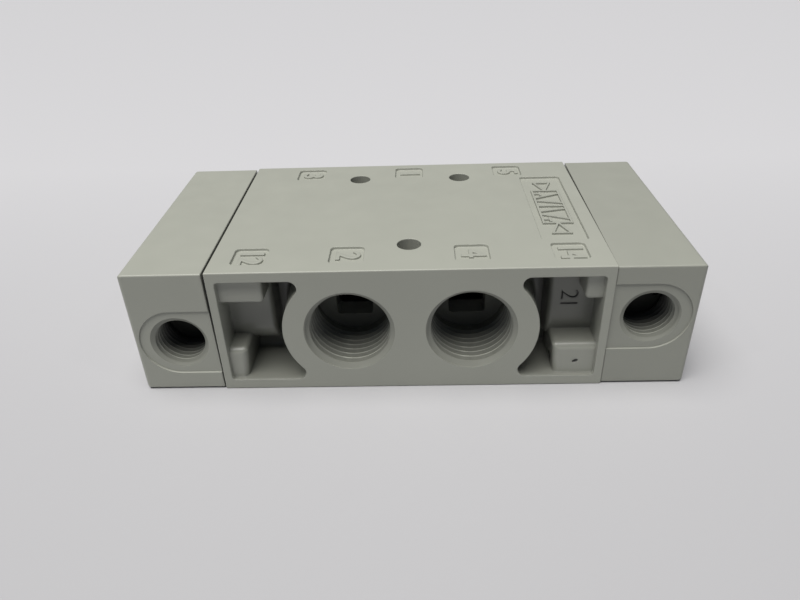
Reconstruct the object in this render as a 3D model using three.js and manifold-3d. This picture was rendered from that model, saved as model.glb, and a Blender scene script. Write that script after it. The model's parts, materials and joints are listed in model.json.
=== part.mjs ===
// Double air-piloted 5/2 spool valve: a die-cast body between two end covers.
// Millimetres, +Z up, +X towards the cover of pilot 14, -Y towards ports 2 and 4.
// The origin is at the middle of the underside.

import * as THREE from "three";
import { mergeVertices } from "three/addons/utils/BufferGeometryUtils.js";
import Module from "manifold-3d";

const wasm = await Module();
wasm.setup();

// Body
const BODY_HALF_LENGTH = 45;
const BODY_HALF_WIDTH = 32;
const BODY_HEIGHT = 32;
const AXIS_Z = BODY_HEIGHT / 2;

// End covers, a little smaller than the body all round
const GASKET = 0.5;
const COVER_INNER_X = BODY_HALF_LENGTH + GASKET;
const COVER_OUTER_X = 64.5;
const COVER_HALF_WIDTH = 31.75;
const COVER_HALF_HEIGHT = 15.7;

// Main ports, G1/2, bored to the thread's minor diameter
const PORT_RADIUS = 9.32;
const PORT_MOUTH_RADIUS = 10.45;
const PORT_MOUTH_DEPTH = 1.13;
const PORT_DEPTH = 16;
const PORT_PITCH = 14;
const FRONT_PORT_STEPS = [-1, 1];
const REAR_PORT_STEPS = [-2, 0, 2];
const CHAMBER_STEPS = [-2, -1, 0, 1, 2];

// Spool bore, its five ring chambers and the cast windows that lead to them
const BORE_RADIUS = 9;
const CHAMBER_RADIUS = 11.5;
const CHAMBER_WIDTH = 9.2;
const WINDOW_HEIGHT = 10.5;
const WINDOW_INNER_Y = 8;

// Pilot ports, G1/4, and the shallow pad that each is sunk in
const PILOT_X = 54;
const PILOT_RISE = 2.6;
const PILOT_RADIUS = 5.72;
const PILOT_MOUTH_RADIUS = 6.8;
const PILOT_MOUTH_DEPTH = 1.08;
const PILOT_DEPTH = 11;
const PAD_DEPTH = 0.35;
const PAD_RADIUS = 8.6;
const PAD_X = 54.6;
const PASSAGE_X = 58.6;
const PASSAGE_RADIUS = 1;

// Through holes for fastening the valve
const MOUNT_HOLE_RADIUS = 2.75;
const MOUNT_HOLES = [[-14, 21.3], [14, 21.3], [0, -19.7]];

// Casting pockets beyond the front ports
const POCKET_OUTER_X = 43.05;
const POCKET_INNER_X = 24.8;
const POCKET_FLOOR_Z = 2.7;
const POCKET_CEILING_Z = 29.5;
const POCKET_DEPTH = 14;
const PORT_BOSS_RADIUS = 15.4;
const PANEL_X = 32.3;
const PANEL_DEPTH = 7.3;
const PANEL_Z = 10;
const POCKET_BOSS_SETBACK = 1.2;
const UPPER_BOSS_Z = 23.2;
const LOWER_BOSS_Z = 10.7;

// Cover screws, M4 x 25, two on a diagonal of each cover
const SCREW_Y = 26;
const SCREW_OFFSET = 11.2;
const SCREW_SEAT_X = 60;
const SCREW_LENGTH = 25;
const SCREW_RADIUS = 1.95;
const SCREW_HEAD_RADIUS = 3.5;
const SCREW_HEAD_HEIGHT = 4;
const HEX_RADIUS = 1.73;
const HEX_DEPTH = 2;
const COUNTERBORE_RADIUS = 3.75;
const CLEARANCE_RADIUS = 2.25;
const TAPPED_RADIUS = 2.1;
const TAPPED_END_X = 34;

// Spool and its seals
const STROKE = 7;
const SPOOL_HALF_LENGTH = 42;
const SPOOL_RADIUS = 8.92;
const SPOOL_WAIST_RADIUS = 5;
const SPOOL_CHAMFER = 0.5;
const LAND_HALF_WIDTH = 2.5;
const GROOVE_HALF_WIDTH = 1.3;
const GROOVE_RADIUS = 7;
const SEAL_RADIUS = 8.95;
const SEAL_HALF_WIDTH = 1.2;
const SEAL_PLACES = [-38.5, -24.5, -3.5, 3.5, 24.5, 38.5];

// Pilot cylinders, pistons and bumpers
const CYLINDER_RADIUS = 12;
const CYLINDER_END_X = 57.7;
const POCKET_END_X = 60.2;
const END_POCKET_RADIUS = 9;
const PISTON_RADIUS = 11.92;
const PISTON_INNER_X = 45.8;
const PISTON_THICKNESS = 4.6;
const PISTON_GROOVE_RADIUS = 9.8;
const PISTON_SEAL_RADIUS = 11.95;
const STEM_RADIUS = 6;
const PUSH_GAP = 0.3;
const BUMPER_RADIUS = 5.5;
const BUMPER_THICKNESS = 2.35;

// Small clearances: where pieces rest on each other, and how far a cutter runs past a face
const SEAT_GAP = 0.02;
const RING_GAP = 0.05;
const PAST = 1;

// Facets round the ports, round the spool bore with all that slides in it, and round small holes
const PORT_ROUND = 32;
const BORE_ROUND = 24;
const SMALL_ROUND = 16;

// Joining and cutting

function solidOf(geometry) {
  const bare = geometry.clone();
  bare.deleteAttribute("normal");
  bare.deleteAttribute("uv");
  const merged = mergeVertices(bare, 1e-4);
  return new wasm.Manifold(new wasm.Mesh({
    numProp: 3,
    vertProperties: new Float32Array(merged.attributes.position.array),
    triVerts: new Uint32Array(merged.index.array),
  }));
}

function geometryOf(solid) {
  const mesh = solid.getMesh();
  const geometry = new THREE.BufferGeometry();
  geometry.setAttribute("position", new THREE.BufferAttribute(mesh.vertProperties, 3));
  geometry.setIndex(new THREE.BufferAttribute(mesh.triVerts, 1));
  geometry.computeVertexNormals();
  return geometry;
}

function cutAll(solid, cutters) {
  return cutters.reduce((rest, cutter) => rest.subtract(cutter), solid);
}

// Basic shapes, placed in the valve's directions

function boxGeometry(low, high) {
  const size = high.map((value, i) => value - low[i]);
  const centre = high.map((value, i) => (value + low[i]) / 2);
  return new THREE.BoxGeometry(...size).translate(...centre);
}

// A body of revolution about X through the origin; its profile is [x, radius] pairs from left to right.
function turnedGeometry(profile, segments) {
  const points = profile.map(([x, radius]) => new THREE.Vector2(radius, x));
  return new THREE.LatheGeometry(points, segments).rotateZ(-Math.PI / 2);
}

// A closed ring about X with a four-sided section.
function ringGeometry(innerRadius, outerRadius, halfWidth) {
  return turnedGeometry([
    [-halfWidth, innerRadius],
    [-halfWidth, outerRadius],
    [halfWidth, outerRadius],
    [halfWidth, innerRadius],
    [-halfWidth, innerRadius],
  ], BORE_ROUND);
}

// A cylinder along X between two ends, about the line through (y, z).
function barGeometry(radius, fromX, toX, y = 0, z = 0, segments = SMALL_ROUND) {
  const profile = [[fromX, 0], [fromX, radius], [toX, radius], [toX, 0]];
  return turnedGeometry(profile, segments).translate(0, y, z);
}

// A cylinder along Y between two depths, about the line through (x, z).
function crossBarGeometry(radius, fromY, toY, x, z) {
  return barGeometry(radius, fromY, toY).rotateZ(Math.PI / 2).translate(x, 0, z);
}

// A blind threaded port seen as its cutter: it opens at faceY towards -Y and runs inwards along +Y.
function portCutter(mouthRadius, mouthDepth, radius, depth, faceY, x, z) {
  const profile = [
    [-PAST, 0],
    [-PAST, mouthRadius],
    [0, mouthRadius],
    [mouthDepth, radius],
    [depth, radius],
    [depth, 0],
  ];
  return solidOf(turnedGeometry(profile, PORT_ROUND).rotateZ(Math.PI / 2).translate(x, faceY, z));
}

// Body

function mainPortCutter(step, side) {
  const bore = portCutter(
    PORT_MOUTH_RADIUS, PORT_MOUTH_DEPTH, PORT_RADIUS, PORT_DEPTH, -BODY_HALF_WIDTH, 0, AXIS_Z);
  const window = solidOf(boxGeometry(
    [-CHAMBER_WIDTH / 2, PORT_DEPTH - BODY_HALF_WIDTH - PAST, AXIS_Z - WINDOW_HEIGHT / 2],
    [CHAMBER_WIDTH / 2, -WINDOW_INNER_Y, AXIS_Z + WINDOW_HEIGHT / 2]));
  const turn = side === "rear" ? 180 : 0;
  return bore.add(window).rotate([0, 0, turn]).translate([step * PORT_PITCH, 0, 0]);
}

// The spool bore with its ring chambers, open at both ends of the body.
function boreCutter() {
  const end = BODY_HALF_LENGTH + PAST;
  const profile = [[-end, 0], [-end, BORE_RADIUS]];
  for (const step of CHAMBER_STEPS) {
    const left = step * PORT_PITCH - CHAMBER_WIDTH / 2;
    const right = step * PORT_PITCH + CHAMBER_WIDTH / 2;
    profile.push([left, BORE_RADIUS], [left, CHAMBER_RADIUS], [right, CHAMBER_RADIUS], [right, BORE_RADIUS]);
  }
  profile.push([end, BORE_RADIUS], [end, 0]);
  return solidOf(turnedGeometry(profile, BORE_ROUND).translate(0, 0, AXIS_Z));
}

// The pocket's outline in the X-Z plane of the right end: straight outside, bowed in by the port's boss.
function pocketOutline() {
  const across = POCKET_INNER_X - PORT_PITCH;
  const angle = Math.acos(across / PORT_BOSS_RADIUS);
  const outline = new THREE.Shape();
  outline.moveTo(POCKET_INNER_X, POCKET_FLOOR_Z);
  outline.lineTo(POCKET_OUTER_X, POCKET_FLOOR_Z);
  outline.lineTo(POCKET_OUTER_X, POCKET_CEILING_Z);
  outline.lineTo(POCKET_INNER_X, POCKET_CEILING_Z);
  outline.absarc(PORT_PITCH, AXIS_Z, PORT_BOSS_RADIUS, angle, -angle, true);
  return outline;
}

// What the casting leaves standing inside a pocket; upper and lower say how far each boss reaches inwards.
function pocketRaisedParts(upperX, lowerX) {
  const back = -BODY_HALF_WIDTH + POCKET_DEPTH + PAST;
  const bossFront = -BODY_HALF_WIDTH + POCKET_BOSS_SETBACK;
  const outer = POCKET_OUTER_X + PAST;
  const ceiling = POCKET_CEILING_Z + PAST;
  const floor = POCKET_FLOOR_Z - PAST;
  return [
    boxGeometry([PANEL_X, -BODY_HALF_WIDTH + PANEL_DEPTH, PANEL_Z], [outer, back, ceiling]),
    boxGeometry([upperX, bossFront, UPPER_BOSS_Z], [outer, back, ceiling]),
    boxGeometry([lowerX, bossFront, floor], [outer, back, LOWER_BOSS_Z]),
  ].map(solidOf);
}

function pocketCutter(side, upperX, lowerX) {
  const outline = new THREE.ExtrudeGeometry(pocketOutline(), {
    depth: POCKET_DEPTH + PAST,
    bevelEnabled: false,
    curveSegments: SMALL_ROUND,
  });
  outline.rotateX(Math.PI / 2).translate(0, POCKET_DEPTH - BODY_HALF_WIDTH, 0);
  const open = cutAll(solidOf(outline), pocketRaisedParts(upperX, lowerX));
  return side === "left" ? open.mirror([1, 0, 0]) : open;
}

function mountHoleCutter([x, y]) {
  const hole = new THREE.CylinderGeometry(
    MOUNT_HOLE_RADIUS, MOUNT_HOLE_RADIUS, BODY_HEIGHT + 2 * PAST, SMALL_ROUND);
  return solidOf(hole.rotateX(Math.PI / 2).translate(x, y, AXIS_Z));
}

// Screws of the right end; the left end is the same turned half a turn about Y.
const SCREWS = [
  { place: "front", y: -SCREW_Y, z: -SCREW_OFFSET },
  { place: "rear", y: SCREW_Y, z: SCREW_OFFSET },
];

function tappedHoleCutters() {
  const holes = SCREWS.map(({ y, z }) =>
    solidOf(barGeometry(TAPPED_RADIUS, TAPPED_END_X, BODY_HALF_LENGTH + PAST, y, z)));
  return [0, 180].flatMap((turn) =>
    holes.map((hole) => hole.rotate([0, turn, 0]).translate([0, 0, AXIS_Z])));
}

function bodyGeometry() {
  const block = solidOf(boxGeometry(
    [-BODY_HALF_LENGTH, -BODY_HALF_WIDTH, 0], [BODY_HALF_LENGTH, BODY_HALF_WIDTH, BODY_HEIGHT]));
  return geometryOf(cutAll(block, [
    boreCutter(),
    ...FRONT_PORT_STEPS.map((step) => mainPortCutter(step, "front")),
    ...REAR_PORT_STEPS.map((step) => mainPortCutter(step, "rear")),
    ...MOUNT_HOLES.map(mountHoleCutter),
    pocketCutter("left", 33, 38.7),
    pocketCutter("right", 39.2, 33.1),
    ...tappedHoleCutters(),
  ]));
}

// Pieces of one end, drawn for the right end about the spool's axis

// The pad around the pilot port: a slot with one round end, open towards the body.
function padCutter() {
  const pad = new THREE.Shape();
  pad.moveTo(COVER_INNER_X - PAST, PILOT_RISE - PAD_RADIUS);
  pad.absarc(PAD_X, PILOT_RISE, PAD_RADIUS, -Math.PI / 2, Math.PI / 2, false);
  pad.lineTo(COVER_INNER_X - PAST, PILOT_RISE + PAD_RADIUS);
  const cutter = new THREE.ExtrudeGeometry(pad, {
    depth: PAD_DEPTH + PAST,
    bevelEnabled: false,
    curveSegments: SMALL_ROUND,
  });
  return solidOf(cutter.rotateX(Math.PI / 2).translate(0, PAD_DEPTH - COVER_HALF_WIDTH, 0));
}

function screwHoleCutters({ y, z }) {
  return [
    barGeometry(CLEARANCE_RADIUS, COVER_INNER_X - PAST, COVER_OUTER_X, y, z),
    barGeometry(COUNTERBORE_RADIUS, SCREW_SEAT_X, COVER_OUTER_X + PAST, y, z),
  ].map(solidOf);
}

function cylinderCutter() {
  return solidOf(turnedGeometry([
    [COVER_INNER_X - PAST, 0],
    [COVER_INNER_X - PAST, CYLINDER_RADIUS],
    [CYLINDER_END_X, CYLINDER_RADIUS],
    [CYLINDER_END_X, END_POCKET_RADIUS],
    [POCKET_END_X, END_POCKET_RADIUS],
    [POCKET_END_X, 0],
  ], BORE_ROUND));
}

function coverGeometry() {
  const block = solidOf(boxGeometry(
    [COVER_INNER_X, -COVER_HALF_WIDTH, -COVER_HALF_HEIGHT],
    [COVER_OUTER_X, COVER_HALF_WIDTH, COVER_HALF_HEIGHT]));
  const portBottomY = -COVER_HALF_WIDTH + PILOT_DEPTH;
  return geometryOf(cutAll(block, [
    cylinderCutter(),
    padCutter(),
    portCutter(
      PILOT_MOUTH_RADIUS, PILOT_MOUTH_DEPTH + PAD_DEPTH, PILOT_RADIUS, PILOT_DEPTH,
      -COVER_HALF_WIDTH, PILOT_X, PILOT_RISE),
    solidOf(crossBarGeometry(PASSAGE_RADIUS, portBottomY - PAST, 0, PASSAGE_X, PILOT_RISE)),
    ...SCREWS.flatMap(screwHoleCutters),
  ]));
}

function gasketGeometry() {
  const inner = BODY_HALF_LENGTH + SEAT_GAP;
  const outer = COVER_INNER_X - SEAT_GAP;
  const sheet = solidOf(boxGeometry(
    [inner, -COVER_HALF_WIDTH, -COVER_HALF_HEIGHT], [outer, COVER_HALF_WIDTH, COVER_HALF_HEIGHT]));
  const holes = SCREWS.map(({ y, z }) =>
    solidOf(barGeometry(CLEARANCE_RADIUS, inner - PAST, outer + PAST, y, z)));
  const middle = solidOf(barGeometry(CYLINDER_RADIUS, inner - PAST, outer + PAST, 0, 0, BORE_ROUND));
  return geometryOf(cutAll(sheet, [middle, ...holes]));
}

function screwGeometry({ y, z }) {
  const seat = SCREW_SEAT_X + SEAT_GAP;
  const top = seat + SCREW_HEAD_HEIGHT;
  const chamfer = SCREW_HEAD_RADIUS - 0.3;
  const shank = turnedGeometry([
    [seat - SCREW_LENGTH, 0],
    [seat - SCREW_LENGTH, SCREW_RADIUS],
    [seat, SCREW_RADIUS],
    [seat, SCREW_HEAD_RADIUS],
    [top - 0.3, SCREW_HEAD_RADIUS],
    [top, chamfer],
    [top, 0],
  ], SMALL_ROUND);
  const socket = barGeometry(HEX_RADIUS, top - HEX_DEPTH, top + PAST, 0, 0, 6);
  return geometryOf(solidOf(shank).subtract(solidOf(socket)).translate([0, y, z]));
}

// The piston at the inner end of its travel, its stem reaching into the spool bore.
function pistonGeometry() {
  const outerX = PISTON_INNER_X + PISTON_THICKNESS;
  const grooveX = PISTON_INNER_X + PISTON_THICKNESS / 2;
  const stemEndX = SPOOL_HALF_LENGTH - STROKE / 2 + PUSH_GAP;
  return turnedGeometry([
    [stemEndX, 0],
    [stemEndX, STEM_RADIUS - SPOOL_CHAMFER],
    [stemEndX + SPOOL_CHAMFER, STEM_RADIUS],
    [PISTON_INNER_X, STEM_RADIUS],
    [PISTON_INNER_X, PISTON_RADIUS],
    [grooveX - GROOVE_HALF_WIDTH, PISTON_RADIUS],
    [grooveX - GROOVE_HALF_WIDTH, PISTON_GROOVE_RADIUS],
    [grooveX + GROOVE_HALF_WIDTH, PISTON_GROOVE_RADIUS],
    [grooveX + GROOVE_HALF_WIDTH, PISTON_RADIUS],
    [outerX, PISTON_RADIUS],
    [outerX, 0],
  ], BORE_ROUND);
}

function pistonSealGeometry() {
  const grooveX = PISTON_INNER_X + PISTON_THICKNESS / 2;
  return ringGeometry(PISTON_GROOVE_RADIUS + RING_GAP, PISTON_SEAL_RADIUS, SEAL_HALF_WIDTH)
    .translate(grooveX, 0, 0);
}

function bumperGeometry() {
  const outerX = POCKET_END_X - SEAT_GAP;
  const innerX = outerX - BUMPER_THICKNESS;
  return turnedGeometry([
    [innerX, 0],
    [innerX, BUMPER_RADIUS - SPOOL_CHAMFER],
    [innerX + SPOOL_CHAMFER, BUMPER_RADIUS],
    [outerX, BUMPER_RADIUS],
    [outerX, 0],
  ], BORE_ROUND);
}

// Spool, drawn about its own middle

function spoolGeometry() {
  const end = SPOOL_HALF_LENGTH;
  const profile = [[-end, 0], [-end, SPOOL_RADIUS - SPOOL_CHAMFER], [-end + SPOOL_CHAMFER, SPOOL_RADIUS]];
  SEAL_PLACES.forEach((place, i) => {
    if (i > 0) {
      profile.push([place - LAND_HALF_WIDTH, SPOOL_WAIST_RADIUS], [place - LAND_HALF_WIDTH, SPOOL_RADIUS]);
    }
    profile.push(
      [place - GROOVE_HALF_WIDTH, SPOOL_RADIUS],
      [place - GROOVE_HALF_WIDTH, GROOVE_RADIUS],
      [place + GROOVE_HALF_WIDTH, GROOVE_RADIUS],
      [place + GROOVE_HALF_WIDTH, SPOOL_RADIUS]);
    if (i < SEAL_PLACES.length - 1) {
      profile.push([place + LAND_HALF_WIDTH, SPOOL_RADIUS], [place + LAND_HALF_WIDTH, SPOOL_WAIST_RADIUS]);
    }
  });
  profile.push([end - SPOOL_CHAMFER, SPOOL_RADIUS], [end, SPOOL_RADIUS - SPOOL_CHAMFER], [end, 0]);
  return turnedGeometry(profile, BORE_ROUND);
}

// Materials

function paint(color, roughness, metalness) {
  return new THREE.MeshStandardMaterial({ color, roughness, metalness });
}

const bodyPaint = () => paint(0xa4a598, 0.42, 0);
const rubber = () => paint(0x1b1b1c, 0.8, 0);
const aluminium = () => paint(0xb9bcc0, 0.35, 1);
const acetal = () => paint(0xd9d8d0, 0.5, 0);
const zincSteel = () => paint(0x9a9da1, 0.4, 1);

function namedMesh(name, geometry, material, x = 0) {
  const mesh = new THREE.Mesh(geometry, material);
  mesh.name = name;
  mesh.position.x = x;
  return mesh;
}

// Assembly

// All pieces of one end; outward is how far its piston stands from the inner end of its travel.
function endGroup(side, outward) {
  const group = new THREE.Group();
  group.position.z = AXIS_Z;
  group.rotation.y = side === "left" ? Math.PI : 0;
  group.add(
    namedMesh(`${side}_end_cover`, coverGeometry(), bodyPaint()),
    namedMesh(`${side}_gasket`, gasketGeometry(), rubber()),
    namedMesh(`${side}_piston`, pistonGeometry(), acetal(), outward),
    namedMesh(`${side}_piston_seal`, pistonSealGeometry(), rubber(), outward),
    namedMesh(`${side}_bumper`, bumperGeometry(), rubber()),
  );
  for (const screw of SCREWS) {
    group.add(namedMesh(`${side}_${screw.place}_screw`, screwGeometry(screw), zincSteel()));
  }
  return group;
}

// The spool rests at the left end of its stroke.
function spoolGroup() {
  const group = new THREE.Group();
  group.position.set(-STROKE / 2, 0, AXIS_Z);
  group.add(namedMesh("spool", spoolGeometry(), aluminium()));
  SEAL_PLACES.forEach((place, i) => {
    const seal = ringGeometry(GROOVE_RADIUS + RING_GAP, SEAL_RADIUS, SEAL_HALF_WIDTH);
    group.add(namedMesh(`spool_seal_${i + 1}`, seal, rubber(), place));
  });
  return group;
}

const valve = new THREE.Group();
valve.add(
  namedMesh("valve_body", bodyGeometry(), bodyPaint()),
  endGroup("left", STROKE),
  endGroup("right", 0),
  spoolGroup(),
);

export default valve;
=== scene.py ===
"""A double air-piloted 5/2 spool valve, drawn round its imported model.

Fine meshes stand for the solids: a painted casting and two painted covers with real threads, casting
pockets and raised numerals, and turned, moulded and plated pieces inside. Shapes are worked out in
millimetres in the model's frame (+X along the spool, +Y to the rear ports, +Z up) and stored in metres.
"""

import json
import math

import bmesh
import bpy
from mathutils import Matrix, Vector


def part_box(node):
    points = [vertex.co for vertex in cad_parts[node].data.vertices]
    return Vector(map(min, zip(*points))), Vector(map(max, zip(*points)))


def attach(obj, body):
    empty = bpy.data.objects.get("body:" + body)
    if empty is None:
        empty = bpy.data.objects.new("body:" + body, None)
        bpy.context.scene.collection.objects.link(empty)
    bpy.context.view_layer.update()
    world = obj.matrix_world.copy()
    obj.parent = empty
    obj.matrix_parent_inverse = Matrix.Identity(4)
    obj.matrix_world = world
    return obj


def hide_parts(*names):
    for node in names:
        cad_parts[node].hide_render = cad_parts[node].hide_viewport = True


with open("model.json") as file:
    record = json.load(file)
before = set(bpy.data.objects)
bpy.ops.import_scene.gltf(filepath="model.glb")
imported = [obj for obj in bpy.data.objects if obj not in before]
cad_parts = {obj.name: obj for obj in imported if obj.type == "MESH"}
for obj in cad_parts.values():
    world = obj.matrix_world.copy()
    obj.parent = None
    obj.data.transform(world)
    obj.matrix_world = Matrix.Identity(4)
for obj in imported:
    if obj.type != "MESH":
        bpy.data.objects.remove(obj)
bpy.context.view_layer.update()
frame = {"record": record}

MM = 0.001
SIDES = ("left", "right")

X_AXIS = Vector((1, 0, 0))
Y_AXIS = Vector((0, 1, 0))
Z_AXIS = Vector((0, 0, 1))

# Threads: minor and major diameters and pitch, in millimetres
G_HALF = {"minor": 18.64, "major": 20.95, "pitch": 1.814}
G_QUARTER = {"minor": 11.44, "major": 13.16, "pitch": 1.337}
M4 = {"minor": 3.3, "major": 3.9, "pitch": 0.7}

# How finely round shapes are drawn
FINE = 96
MEDIUM = 64
SMALL = 40

# Material indices of the castings: painted skin, bored or tapped faces, casting pockets, and small cut marks
# in them coloured dark as painted shade
PAINTED = 0
MACHINED = 1
RECESSED = 2
SHADED_MARKS = 3


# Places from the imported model

def box_mm(node):
    """Lowest and highest corners of a node, in millimetres."""
    low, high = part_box(node)
    return Vector(low) / MM, Vector(high) / MM


def round_piece(node):
    """How far from the middle a piece on the X direction begins and ends, its radius, and its direction."""
    low, high = box_mm(node)
    near, far = sorted((abs(low.x), abs(high.x)))
    return near, far, (high.y - low.y) / 2, X_AXIS * math.copysign(1, low.x)


def opening_mm(name):
    """Lowest and highest corners of one of the record's openings, in millimetres."""
    for opening in frame["record"]["physics"]["openings"]:
        if opening["name"] == name:
            low, high = opening["box_m"]
            return Vector(low) / MM, Vector(high) / MM
    raise KeyError(name)


BODY_LOW, BODY_HIGH = box_mm("valve_body")
COVER_LOW, COVER_HIGH = box_mm("right_end_cover")
AXIS_Z = (BODY_LOW.z + BODY_HIGH.z) / 2
FRONT_Y = BODY_LOW.y
COVER_FRONT_Y = COVER_LOW.y
TOP_Z = BODY_HIGH.z
SPOOL_LINE = Vector((0, 0, AXIS_Z))

# Half a turn about the Y direction through the spool's line takes the right end's pieces to the left end
HALF_TURN = (Matrix.Translation(SPOOL_LINE) @ Matrix.Rotation(math.pi, 4, "Y")
             @ Matrix.Translation(-SPOOL_LINE))


# Mesh building

def new_object(name, data):
    """An object for some data, put in the scene."""
    obj = bpy.data.objects.new(name, data)
    bpy.context.scene.collection.objects.link(obj)
    return obj


def evaluated_mesh(obj):
    """A new mesh of an object's shape with its modifiers, or of a curve's filled outline."""
    bpy.context.view_layer.update()
    return bpy.data.meshes.new_from_object(obj.evaluated_get(bpy.context.evaluated_depsgraph_get()))


def solid(name, points, faces, index=PAINTED):
    """A closed mesh object from points in millimetres."""
    mesh = bpy.data.meshes.new(name)
    mesh.from_pydata([Vector(point) * MM for point in points], [], faces)
    shape = bmesh.new()
    shape.from_mesh(mesh)
    bmesh.ops.recalc_face_normals(shape, faces=shape.faces)
    for face in shape.faces:
        face.material_index = index
    shape.to_mesh(mesh)
    shape.free()
    return new_object(name, mesh)


def loft(name, rings, index=PAINTED, closed=False):
    """A solid through rings of equally many points, capped at both ends unless it closes on itself."""
    count = len(rings[0])
    points = [point for ring in rings for point in ring]
    faces = []
    last = len(rings) if closed else len(rings) - 1
    for r in range(last):
        start = r * count
        after = (r + 1) % len(rings) * count
        for i in range(count):
            j = (i + 1) % count
            faces.append((start + i, start + j, after + j, after + i))
    if not closed:
        faces.append(tuple(reversed(range(count))))
        faces.append(tuple(range(last * count, (last + 1) * count)))
    return solid(name, points, faces, index)


def across(axis):
    """Two directions square to an axis, which turn from the first to the second about it."""
    first = Z_AXIS.cross(axis) if abs(axis.z) < 0.5 else X_AXIS
    return first, axis.cross(first)


def circle(origin, axis, along, radius, segments):
    """Points of a circle about a line; radius is a number or a function of the turn in radians."""
    first, second = across(axis)
    points = []
    for i in range(segments):
        turn = math.tau * i / segments
        reach = radius(turn) if callable(radius) else radius
        points.append(origin + axis * along + (first * math.cos(turn) + second * math.sin(turn)) * reach)
    return points


def turned(name, origin, axis, profile, segments=FINE, index=PAINTED, closed=False):
    """A solid of revolution; its profile is (distance along the axis, radius) pairs."""
    rings = [circle(origin, axis, along, radius, segments) for along, radius in profile]
    return loft(name, rings, index, closed)


def quarter(steps):
    """Pairs that run from (1, 0) to (0, 1) along a quarter circle about (1, 1)."""
    angles = [math.pi / 2 * i / steps for i in range(steps + 1)]
    return [(1 - math.sin(angle), 1 - math.cos(angle)) for angle in angles]


def arc(centre, radius, start, end, steps):
    """Points (u, v) of an arc between two angles in degrees."""
    points = []
    for i in range(steps + 1):
        angle = math.radians(start + (end - start) * i / steps)
        points.append((centre[0] + radius * math.cos(angle), centre[1] + radius * math.sin(angle)))
    return points


def rounded_rectangle(low, high, radius):
    """Points (u, v) of a rectangle with round corners, from the lower right corner round."""
    corners = ((high[0], low[1], -90), (high[0], high[1], 0), (low[0], high[1], 90), (low[0], low[1], 180))
    points = []
    for u, v, start in corners:
        centre_u = u - math.copysign(radius, u - (low[0] + high[0]) / 2)
        centre_v = v - math.copysign(radius, v - (low[1] + high[1]) / 2)
        points += arc((centre_u, centre_v), radius, start, start + 90, 6)
    return points


def shrunk_rectangle(low, high, radius, inset):
    """The same outline moved inwards by inset."""
    least = 0.12
    return rounded_rectangle(
        (low[0] + inset, low[1] + inset), (high[0] - inset, high[1] - inset), max(radius - inset, least))


def move(obj, matrix):
    """Moves an object's points, given a matrix in millimetres."""
    metres = matrix.copy()
    metres.translation *= MM
    obj.data.transform(metres)


def combine(base, cutters=(), additions=()):
    """Cuts the cutters out of base, adds the additions, and removes them all.

    Empty material slots on every piece let the faces keep their material numbers."""
    for piece in (base, *cutters, *additions):
        while len(piece.data.materials) <= SHADED_MARKS:
            piece.data.materials.append(None)
    for operation, tools in (("DIFFERENCE", cutters), ("UNION", additions)):
        for tool in tools:
            step = base.modifiers.new(tool.name, "BOOLEAN")
            step.operation = operation
            step.object = tool
            step.solver = "MANIFOLD"
    made = evaluated_mesh(base)
    base.modifiers.clear()
    old = base.data
    base.data = made
    made.name = base.name
    bpy.data.meshes.remove(old)
    for tool in (*cutters, *additions):
        data = tool.data
        bpy.data.objects.remove(tool)
        bpy.data.meshes.remove(data)
    return base


def finish(obj, materials, node, body, sharp=32):
    """Cleans a piece's mesh and sets its creases and materials.

    It hides the node it replaces and hangs the piece on the body it rides on."""
    shape = bmesh.new()
    shape.from_mesh(obj.data)
    bmesh.ops.remove_doubles(shape, verts=shape.verts, dist=0.0005 * MM)
    bmesh.ops.dissolve_degenerate(shape, edges=shape.edges, dist=0.0005 * MM)
    for face in shape.faces:
        face.smooth = True
    shape.to_mesh(obj.data)
    shape.free()
    obj.data.set_sharp_from_angle(angle=math.radians(sharp))
    slots = obj.data.materials
    while len(slots) > len(materials):
        slots.pop()
    for i, material in enumerate(materials):
        if i < len(slots):
            slots[i] = material
        else:
            slots.append(material)
    weights = obj.modifiers.new("flat faces stay flat", "WEIGHTED_NORMAL")
    weights.keep_sharp = True
    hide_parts(node)
    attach(obj, body)


# Threads

# One pitch of a thread's outline, from the middle of a crest: place along the pitch, and how far out
THREAD_OUTLINE = (
    (0.058, 0.0), (0.082, 0.033), (0.418, 0.967), (0.442, 1.0),
    (0.558, 1.0), (0.582, 0.967), (0.918, 0.033), (0.942, 0.0),
)
DOWNWARDS = -math.pi / 2
# Depth of a port's mouth cone over its width
CONE_SLOPE = 0.7


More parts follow.
